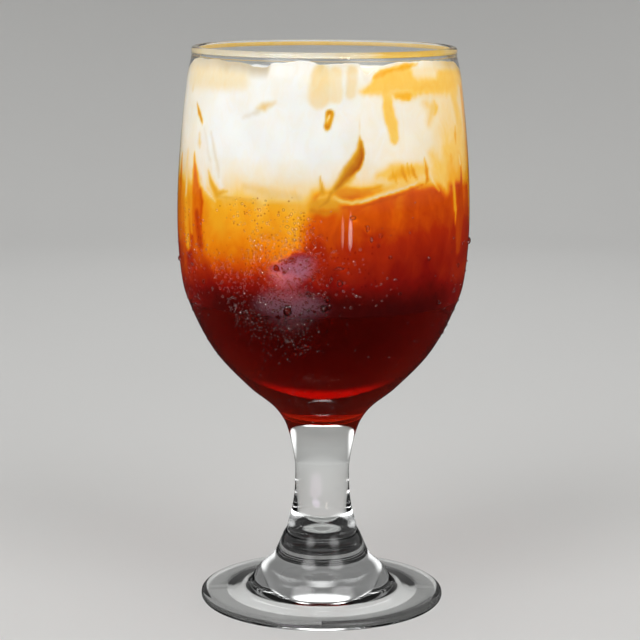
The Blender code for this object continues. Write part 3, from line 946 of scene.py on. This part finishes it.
MIST_UNEVEN = 0.5
MIST_KIND = (21, 9)
MIST_STEPS = 120
BEAD_SEED = 4
BEAD_SPACING = 0.60 * MM
BEAD_DENSITY = 2.2e6
BEAD_SMALL = 0.20 * MM
BEAD_LARGE = 0.52 * MM
BEAD_FLATNESS = 0.70
BEADS_MOSTLY_SMALL = 1.7
BEAD_SIDES = 7
BEAD_RINGS = 4
DROP_SIDES = 16
DROP_RINGS = 10
WATER_IOR = 1.33
BEAD_CLEARNESS = 0.994
DROP_CLEARNESS = 1.0
WATER_SHINE = 0.5
# Painted shade: the dark tint at the steep edge of beads and drops
BEAD_PAINTED_RING = (0.16, 0.05, 0.035)
DROP_PAINTED_RING = (0.02, 0.006, 0.008)
BEAD_RING_FROM = 0.15
BEAD_RING_TO = 0.50
DROP_RING_FROM = 0.10
DROP_RING_TO = 0.36
# Larger drops: degrees from the front, height, width and length in mm
DROPS = [
    (-14.0, 98.0, 2.6, 3.5), (-17.9, 110.6, 1.8, 2.1), (-14.5, 109.6, 1.3, 1.3), (-14.2, 112.8, 1.4, 1.1),
    (-11.7, 113.6, 2.3, 0.9), (-3.5, 108.2, 1.3, 1.5), (-5.5, 103.3, 2.1, 1.3), (-1.6, 103.2, 1.3, 1.0),
    (0.4, 99.0, 2.2, 2.1), (1.7, 101.6, 1.6, 1.9), (6.2, 106.4, 1.8, 2.2), (2.9, 107.6, 1.0, 1.5),
    (6.1, 110.8, 2.9, 0.9), (-9.0, 102.7, 1.0, 1.0), (-6.4, 116.7, 1.0, 1.3), (-18.1, 95.9, 1.5, 1.3),
    (-5.9, 98.2, 1.2, 0.9), (-3.4, 98.1, 1.2, 0.9), (-3.0, 94.3, 1.2, 1.2), (-6.0, 95.2, 1.0, 1.1),
    (-20.8, 111.5, 1.0, 1.3), (-23.0, 108.8, 0.9, 1.1), (-23.1, 95.4, 1.2, 1.1), (-3.3, 118.3, 1.2, 1.6),
    (10.8, 125.4, 1.9, 1.3), (2.4, 99.4, 1.4, 2.2), (25.7, 113.6, 1.3, 1.0), (28.4, 106.8, 1.4, 0.9),
    (-4.5, 121.6, 0.9, 1.2), (-1.0, 120.3, 1.0, 1.0), (-5.7, 116.0, 1.2, 1.1), (-11.0, 119.0, 1.2, 1.1),
    (-13.5, 122.7, 1.4, 1.0), (-10.2, 90.9, 1.0, 1.1), (1.4, 91.9, 0.9, 1.0), (-7.1, 89.0, 1.1, 0.9),
    (0.0, 84.9, 1.1, 1.0), (16.5, 122.2, 1.0, 2.0), (18.0, 119.0, 0.8, 1.8), (21.6, 120.0, 1.1, 1.3),
    (20.8, 117.1, 0.9, 1.1), (30.8, 102.5, 1.1, 1.1), (44, 112, 1.0, 1.3), (53, 98, 1.2, 1.5),
    (66, 108, 1.0, 1.2), (38, 93, 1.1, 1.3), (84.0, 113.6, 1.6, 2.2), (100, 118, 1.2, 1.8),
    (112, 109, 1.6, 2.2), (126, 124, 1.1, 1.4), (138, 101, 1.5, 1.9), (152, 115, 1.0, 1.2),
    (165, 95, 1.3, 1.8), (178, 121, 1.4, 2.0), (191, 104, 1.1, 1.3), (203, 127, 1.0, 1.4),
    (214, 97, 1.6, 2.1), (226, 112, 1.2, 1.4), (239, 122, 1.3, 1.8), (251, 101, 1.1, 1.3),
    (263, 116, 1.5, 2.0), (-82, 108, 1.3, 1.7), (-70, 96, 1.2, 1.6), (-54, 104, 1.1, 1.4),
]
DROP_RISE = 0.36


def clear_water(name, clearness, shade, ring_from, ring_to):
    """Clear water with a painted dark ring: its tint darkens towards a bead's steep edge, as painted shade
    for the light that such an edge sends away.
    """
    made, output = new_material(name)
    water = add(
        made, "BsdfPrincipled", Roughness=0.0, IOR=WATER_IOR, Transmission_Weight=clearness,
        Specular_Tint=(WATER_SHINE, WATER_SHINE, WATER_SHINE, 1),
    )
    turned_away = add(made, "LayerWeight", Blend=0.5)
    ring = run_of_colour(made, (1, 1, 1), shade, ring_from, ring_to)
    join(made, turned_away.outputs["Facing"], ring.inputs[0])
    join(made, ring.outputs[0], water.inputs["Base Color"])
    clear_to_shadows(made, water, output)
    return made


def glass_radius(height):
    """Outer radius of the bowl at a height."""
    upward = bowl_outside[::-1]
    return np.interp(height, [p.y for p in upward], [p.x for p in upward])


def inside_box(mesh):
    """Keeps every corner within the true width and depth of the goblet."""
    for corner in mesh.vertices:
        corner.co.x = min(max(corner.co.x, cad_low[0]), cad_high[0])
        corner.co.y = min(max(corner.co.y, cad_low[1]), cad_high[1])


def bead_tree():
    """Nodes that scatter flat beads over a surface by its attribute mist."""
    tree = bpy.data.node_groups.new("condensation", "GeometryNodeTree")
    socket = tree.interface.new_socket
    sizes = {
        "Spacing": BEAD_SPACING, "Density": BEAD_DENSITY, "Smallest Radius": BEAD_SMALL,
        "Largest Radius": BEAD_LARGE, "Flatness": BEAD_FLATNESS,
    }
    socket("Geometry", in_out="INPUT", socket_type="NodeSocketGeometry")
    for label, value in sizes.items():
        socket(label, in_out="INPUT", socket_type="NodeSocketFloat").default_value = value
    socket("Seed", in_out="INPUT", socket_type="NodeSocketInt").default_value = BEAD_SEED
    socket("Water", in_out="INPUT", socket_type="NodeSocketMaterial")
    socket("Geometry", in_out="OUTPUT", socket_type="NodeSocketGeometry")
    make = tree.nodes.new
    tie = tree.links.new
    given = make("NodeGroupInput").outputs
    mist = make("GeometryNodeInputNamedAttribute")
    mist.inputs["Name"].default_value = "mist"
    scatter = make("GeometryNodeDistributePointsOnFaces")
    scatter.distribute_method = "POISSON"
    tie(given["Geometry"], scatter.inputs["Mesh"])
    tie(given["Spacing"], scatter.inputs["Distance Min"])
    tie(given["Density"], scatter.inputs["Density Max"])
    tie(mist.outputs[0], scatter.inputs["Density Factor"])
    tie(given["Seed"], scatter.inputs["Seed"])
    chance = make("FunctionNodeRandomValue")
    tie(given["Seed"], chance.inputs["Seed"])
    mostly_small = make("ShaderNodeMath")
    mostly_small.operation = "POWER"
    mostly_small.inputs[1].default_value = BEADS_MOSTLY_SMALL
    tie(chance.outputs[1], mostly_small.inputs[0])
    radius = make("ShaderNodeMapRange")
    tie(mostly_small.outputs[0], radius.inputs["Value"])
    tie(given["Smallest Radius"], radius.inputs["To Min"])
    tie(given["Largest Radius"], radius.inputs["To Max"])
    rise = make("ShaderNodeMath")
    rise.operation = "MULTIPLY"
    tie(radius.outputs[0], rise.inputs[0])
    tie(given["Flatness"], rise.inputs[1])
    size = make("ShaderNodeCombineXYZ")
    tie(radius.outputs[0], size.inputs[0])
    tie(radius.outputs[0], size.inputs[1])
    tie(rise.outputs[0], size.inputs[2])
    ball = make("GeometryNodeMeshUVSphere")
    ball.inputs["Segments"].default_value = BEAD_SIDES
    ball.inputs["Rings"].default_value = BEAD_RINGS
    place = make("GeometryNodeInstanceOnPoints")
    tie(scatter.outputs["Points"], place.inputs["Points"])
    tie(ball.outputs["Mesh"], place.inputs["Instance"])
    tie(scatter.outputs["Rotation"], place.inputs["Rotation"])
    tie(size.outputs[0], place.inputs["Scale"])
    real = make("GeometryNodeRealizeInstances")
    tie(place.outputs[0], real.inputs[0])
    round_off = make("GeometryNodeSetShadeSmooth")
    tie(real.outputs[0], round_off.inputs[0])
    coat = make("GeometryNodeSetMaterial")
    tie(round_off.outputs[0], coat.inputs[0])
    tie(given["Water"], coat.inputs["Material"])
    tie(coat.outputs[0], make("NodeGroupOutput").inputs[0])
    return tree


def mist_at(mesh):
    """How thick the mist is at each corner of a mesh, from 0 to 1."""
    places = np.array([corner.co for corner in mesh.vertices]) / MM
    bearing = np.degrees(np.arctan2(places[:, 0], -places[:, 1]))
    height = places[:, 2]
    mist = np.full(len(bearing), MIST_BASE)
    for most, soft, path in MIST_PATCHES:
        mist = np.maximum(mist, most * stroke(bearing, height, path, soft))
    mist *= MIST_EVEN + MIST_UNEVEN * ripple(bearing, height, *MIST_KIND)
    mist *= smooth(MIST_FROM, MIST_FULL_FROM, height) * smooth(MIST_TO, MIST_FULL_TO, height)
    return np.clip(mist, 0, 1)


mist_line = [p for p in bowl_outside if MIST_FROM * MM < p.y < MIST_TO * MM]
beads = turned("water_beads", mist_line, MIST_STEPS)
for mesh in (beads.data, goblet.data):
    write_at_corners(mesh, "mist", mist_at(mesh))
bead_water = clear_water("condensed_water", BEAD_CLEARNESS, BEAD_PAINTED_RING, BEAD_RING_FROM, BEAD_RING_TO)
scattered = beads.modifiers.new("condensation", "NODES")
scattered.node_group = bead_tree()
for socket in scattered.node_group.interface.items_tree:
    if socket.in_out == "INPUT" and socket.name == "Water":
        scattered[socket.identifier] = bead_water
plain_mesh(beads)
inside_box(beads.data)
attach(beads, "root")
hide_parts("goblet")

drop_form = bmesh.new()
for degrees, height, width, length in DROPS:
    turn_by = Matrix.Rotation(radians(degrees), 4, "Z")
    at = Vector((0, -glass_radius(height * MM), height * MM))
    lean = (glass_radius((height + 1) * MM) - glass_radius((height - 1) * MM)) / (2 * MM)
    size = Matrix.Diagonal((width / 2 * MM, DROP_RISE * (width + length) / 2 * MM, length / 2 * MM, 1))
    tilt = Matrix.Rotation(np.arctan(lean), 4, "X")
    bmesh.ops.create_uvsphere(
        drop_form, u_segments=DROP_SIDES, v_segments=DROP_RINGS, radius=1,
        matrix=turn_by @ Matrix.Translation(at) @ tilt @ size,
    )
# Corners and faces in an order that is the same each time
for rank, corner in enumerate(sorted(drop_form.verts, key=lambda corner: tuple(corner.co))):
    corner.index = rank
drop_form.verts.sort()
for rank, face in enumerate(sorted(drop_form.faces, key=lambda face: tuple(face.calc_center_median()))):
    face.index = rank
drop_form.faces.sort()
drop_mesh = bpy.data.meshes.new("water_drops")
drop_form.to_mesh(drop_mesh)
drop_form.free()
drops = link("water_drops", drop_mesh)
inside_box(drops.data)
drop_water = clear_water("running_water", DROP_CLEARNESS, DROP_PAINTED_RING, DROP_RING_FROM, DROP_RING_TO)
drops.data.materials.append(drop_water)
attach(drops, "root")
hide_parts("goblet")

# Studio: a round sweep of pale paper, soft boxes, and cards that show in the glass as soft
# patches. Mirrored paper is dark near the floor, as behind black card, so that clear glass has
# dark edges. The camera stands at the photo's angle.
SWEEP_RADIUS = 1.3
SWEEP_BEND = 0.5
SWEEP_HEIGHT = 1.3
BEND_PARTS = 16
SWEEP_STEPS = 96
PAPER_DARK = (0.66, 0.66, 0.65)
PAPER_LIGHT = (0.70, 0.70, 0.69)
MIRRORED_FROM = 0.045
MIRRORED_TO = 0.10
MIRRORED_FLOOR = 0.02
MIRRORED_WALL = 0.6
AIM = Vector((0, 0, 0.1))
BOWL_MIDDLE = (0, 0, 0.12)
# How far from its middle a light begins to fade and is dark, in shares of its width
FADE_FROM = 0.2
FADE_TO = 0.5
# Degrees right of the camera and up from level, distance, width, height, power, and gloss
SOFT_BOXES = {
    "key_box": (-38, 42, 0.95, 0.7, 0.8, 8.0, True),
    "fill_box": (42, 40, 1.0, 0.8, 0.8, 7.8, True),
    "top_box": (0, 88, 1.0, 1.1, 1.1, 6.0, True),
    "front_panel": (0, 2, 1.1, 1.4, 0.7, 3.2, False),
    "back_panel": (180, 36, 1.0, 1.0, 0.5, 5.0, False),
}
# The same for lights at both sides that fall on these pieces alone
SIDE_LIGHTS = {
    "panel": ((122, 6.5, 0.35, 0.31, 0.22, 0.34), (goblet, tea)),
    "side": ((105, 8, 0.6, 0.4, 0.4, 2.2), (blend, milk)),
    "glow": ((112, -8, 0.4, 0.3, 0.2, 7.5), (tea,)),
}
# The same for the light on beads and drops alone
BEAD_BOX = (-14, 32, 0.9, 0.5, 0.5, 60.0, True)
# Left end, right end, the place it faces, height, power and colour
CARDS = {
    "upper_card": (
        (-0.230, -0.230, 0.018), (-0.010, -0.335, 0.036), (-0.012, -0.041, 0.112), 0.062, 0.24,
        (0.86, 0.66, 0.95),
    ),
    "lower_card": (
        (-0.225, -0.185, 0.004), (0.035, -0.185, 0.004), (-0.095, -0.185, 0.1), 0.23, 0.46,
        (0.90, 0.64, 0.86),
    ),
    "strip_card": ((0.184, -0.568, 0.045), (0.221, -0.554, 0.045), BOWL_MIDDLE, 0.10, 0.13, (1.0, 0.9, 0.8)),
    "thin_card": ((0.133, -0.588, 0.045), (0.160, -0.578, 0.045), BOWL_MIDDLE, 0.09, 0.05, (1.0, 0.8, 0.6)),
}
ROOM_COLOUR = (0.80, 0.79, 0.78, 1)
ROOM_LIGHT = 0.3
CAMERA_PLACE = (-0.0009, -0.653, 0.2049)
PITCH = 10.15
ROLL = 0.28
SENSOR = 36
LENS = 121.05
BOUNCES = 20
CLEAR_BOUNCES = 24


def pale_paper():
    """Pale grey paper with a faint grain, darker by height where it is seen in shine."""
    made, output = new_material("pale_paper")
    place = add(made, "TexCoord")
    grain = add(made, "TexNoise", Scale=3.0, Detail=3.0)
    shade = run_of_colour(made, PAPER_DARK, PAPER_LIGHT)
    paper = add(made, "BsdfPrincipled", Roughness=0.6)
    mirrored = add(made, "BsdfDiffuse")
    apart = add(made, "SeparateXYZ")
    by_height = add(
        made, "MapRange", From_Min=MIRRORED_FROM, From_Max=MIRRORED_TO, To_Min=MIRRORED_FLOOR,
        To_Max=MIRRORED_WALL,
    )
    path = add(made, "LightPath")
    seen_in_shine = add(made, "Math", operation="GREATER_THAN")
    seen_in_shine.inputs[1].default_value = 0.5
    choice = add(made, "MixShader")
    join(made, place.outputs["Object"], grain.inputs["Vector"])
    join(made, grain.outputs[0], shade.inputs[0])
    join(made, shade.outputs[0], paper.inputs["Base Color"])
    join(made, place.outputs["Object"], apart.inputs[0])
    join(made, apart.outputs["Z"], by_height.inputs["Value"])
    join(made, by_height.outputs[0], mirrored.inputs["Color"])
    join(made, path.outputs["Glossy Depth"], seen_in_shine.inputs[0])
    join(made, seen_in_shine.outputs[0], choice.inputs[0])
    join(made, paper.outputs[0], choice.inputs[1])
    join(made, mirrored.outputs[0], choice.inputs[2])
    join(made, choice.outputs[0], output.inputs["Surface"])
    return made


def faded(data):
    """Fades a light from its middle to its edges, so that what mirrors it shows no hard outline."""
    data.use_nodes = True
    nodes = data.node_tree.nodes
    tie = data.node_tree.links.new
    across = nodes.new("ShaderNodeNewGeometry")
    centred = nodes.new("ShaderNodeVectorMath")
    centred.operation = "SUBTRACT"
    centred.inputs[1].default_value = (0.5, 0.5, 0)
    away = nodes.new("ShaderNodeVectorMath")
    away.operation = "LENGTH"
    fade = nodes.new("ShaderNodeMapRange")
    fade.interpolation_type = "SMOOTHSTEP"
    fade.inputs["From Min"].default_value = FADE_TO
    fade.inputs["From Max"].default_value = FADE_FROM
    tie(across.outputs["Parametric"], centred.inputs[0])
    tie(centred.outputs[0], away.inputs[0])
    tie(away.outputs["Value"], fade.inputs["Value"])
    tie(fade.outputs[0], nodes["Emission"].inputs["Strength"])


def light(name, width, height, power, colour=(1, 1, 1)):
    """A rectangular light with faded edges that the camera itself doesn't see."""
    data = bpy.data.lights.new(name, "AREA")
    data.shape = "RECTANGLE"
    data.size = width
    data.size_y = height
    data.energy = power
    data.color = colour
    faded(data)
    made = bpy.data.objects.new(name, data)
    bpy.context.scene.collection.objects.link(made)
    made.visible_camera = False
    return made


def soft_box(name, azimuth, elevation, distance, width, height, power, in_gloss):
    """A light that looks at the bowl, at degrees right of the camera and up from level."""
    a = radians(azimuth)
    e = radians(elevation)
    back = Vector((sin(a) * cos(e), -cos(a) * cos(e), sin(e)))
    made = light(name, width, height, power)
    made.location = AIM + back * distance
    made.rotation_euler = back.to_track_quat("Z", "Y").to_euler()
    made.visible_glossy = in_gloss
    return made


def soft_card(name, left, right, toward, height, power, colour):
    """A weak light between two ends, seen only as a soft patch in the gloss of the glass."""
    left, right, toward = Vector(left), Vector(right), Vector(toward)
    middle = (left + right) / 2
    along = (right - left).normalized()
    facing = (middle - toward - along * along.dot(middle - toward)).normalized()
    made = light(name, (right - left).length, height, power, colour)
    turn_to_face = Matrix((along, facing.cross(along), facing)).transposed().to_4x4()
    made.matrix_world = Matrix.Translation(middle) @ turn_to_face
    made.visible_transmission = False
    return made


def only_on(lights, name, pieces):
    """Lets these lights fall on these pieces alone."""
    lit = bpy.data.collections.new(name)
    for piece in pieces:
        lit.objects.link(piece)
    for made in lights:
        made.light_linking.receiver_collection = lit


sweep_outline = (
    [Vector((SWEEP_RADIUS, SWEEP_HEIGHT))]
    + arc((SWEEP_RADIUS - SWEEP_BEND, SWEEP_BEND), SWEEP_BEND, 0, -90, BEND_PARTS)
    + [Vector((0, 0))]
)
sweep = turned("paper_sweep", sweep_outline, SWEEP_STEPS)
sweep.data.materials.append(pale_paper())

for name, setting in SOFT_BOXES.items():
    soft_box(name, *setting)
for kind, ((azimuth, *setting), pieces) in SIDE_LIGHTS.items():
    pair = [
        soft_box("left_" + kind, -azimuth, *setting, False),
        soft_box("right_" + kind, azimuth, *setting, False),
    ]
    only_on(pair, kind + "_light", pieces)
bead_box = soft_box("bead_box", *BEAD_BOX)
bead_box.visible_transmission = False
only_on([bead_box], "bead_light", (beads, drops))
cards = [soft_card(name, *setting) for name, setting in CARDS.items()]
only_on(cards, "card_light", (goblet,))

room = bpy.data.worlds.new("studio")
bpy.context.scene.world = room
room.use_nodes = True
room.node_tree.nodes["Background"].inputs["Color"].default_value = ROOM_COLOUR
room.node_tree.nodes["Background"].inputs["Strength"].default_value = ROOM_LIGHT

camera_data = bpy.data.cameras.new("photo_view")
camera_data.sensor_width = SENSOR
camera_data.lens = LENS
camera = bpy.data.objects.new("photo_view", camera_data)
bpy.context.scene.collection.objects.link(camera)
turn_down = Matrix.Rotation(radians(90 - PITCH), 4, "X") @ Matrix.Rotation(radians(ROLL), 4, "Z")
camera.matrix_world = Matrix.Translation(CAMERA_PLACE) @ turn_down
bpy.context.scene.camera = camera
bpy.context.scene.view_settings.view_transform = "Standard"
bpy.context.scene.cycles.max_bounces = BOUNCES
bpy.context.scene.cycles.transmission_bounces = BOUNCES
bpy.context.scene.cycles.transparent_max_bounces = CLEAR_BOUNCES
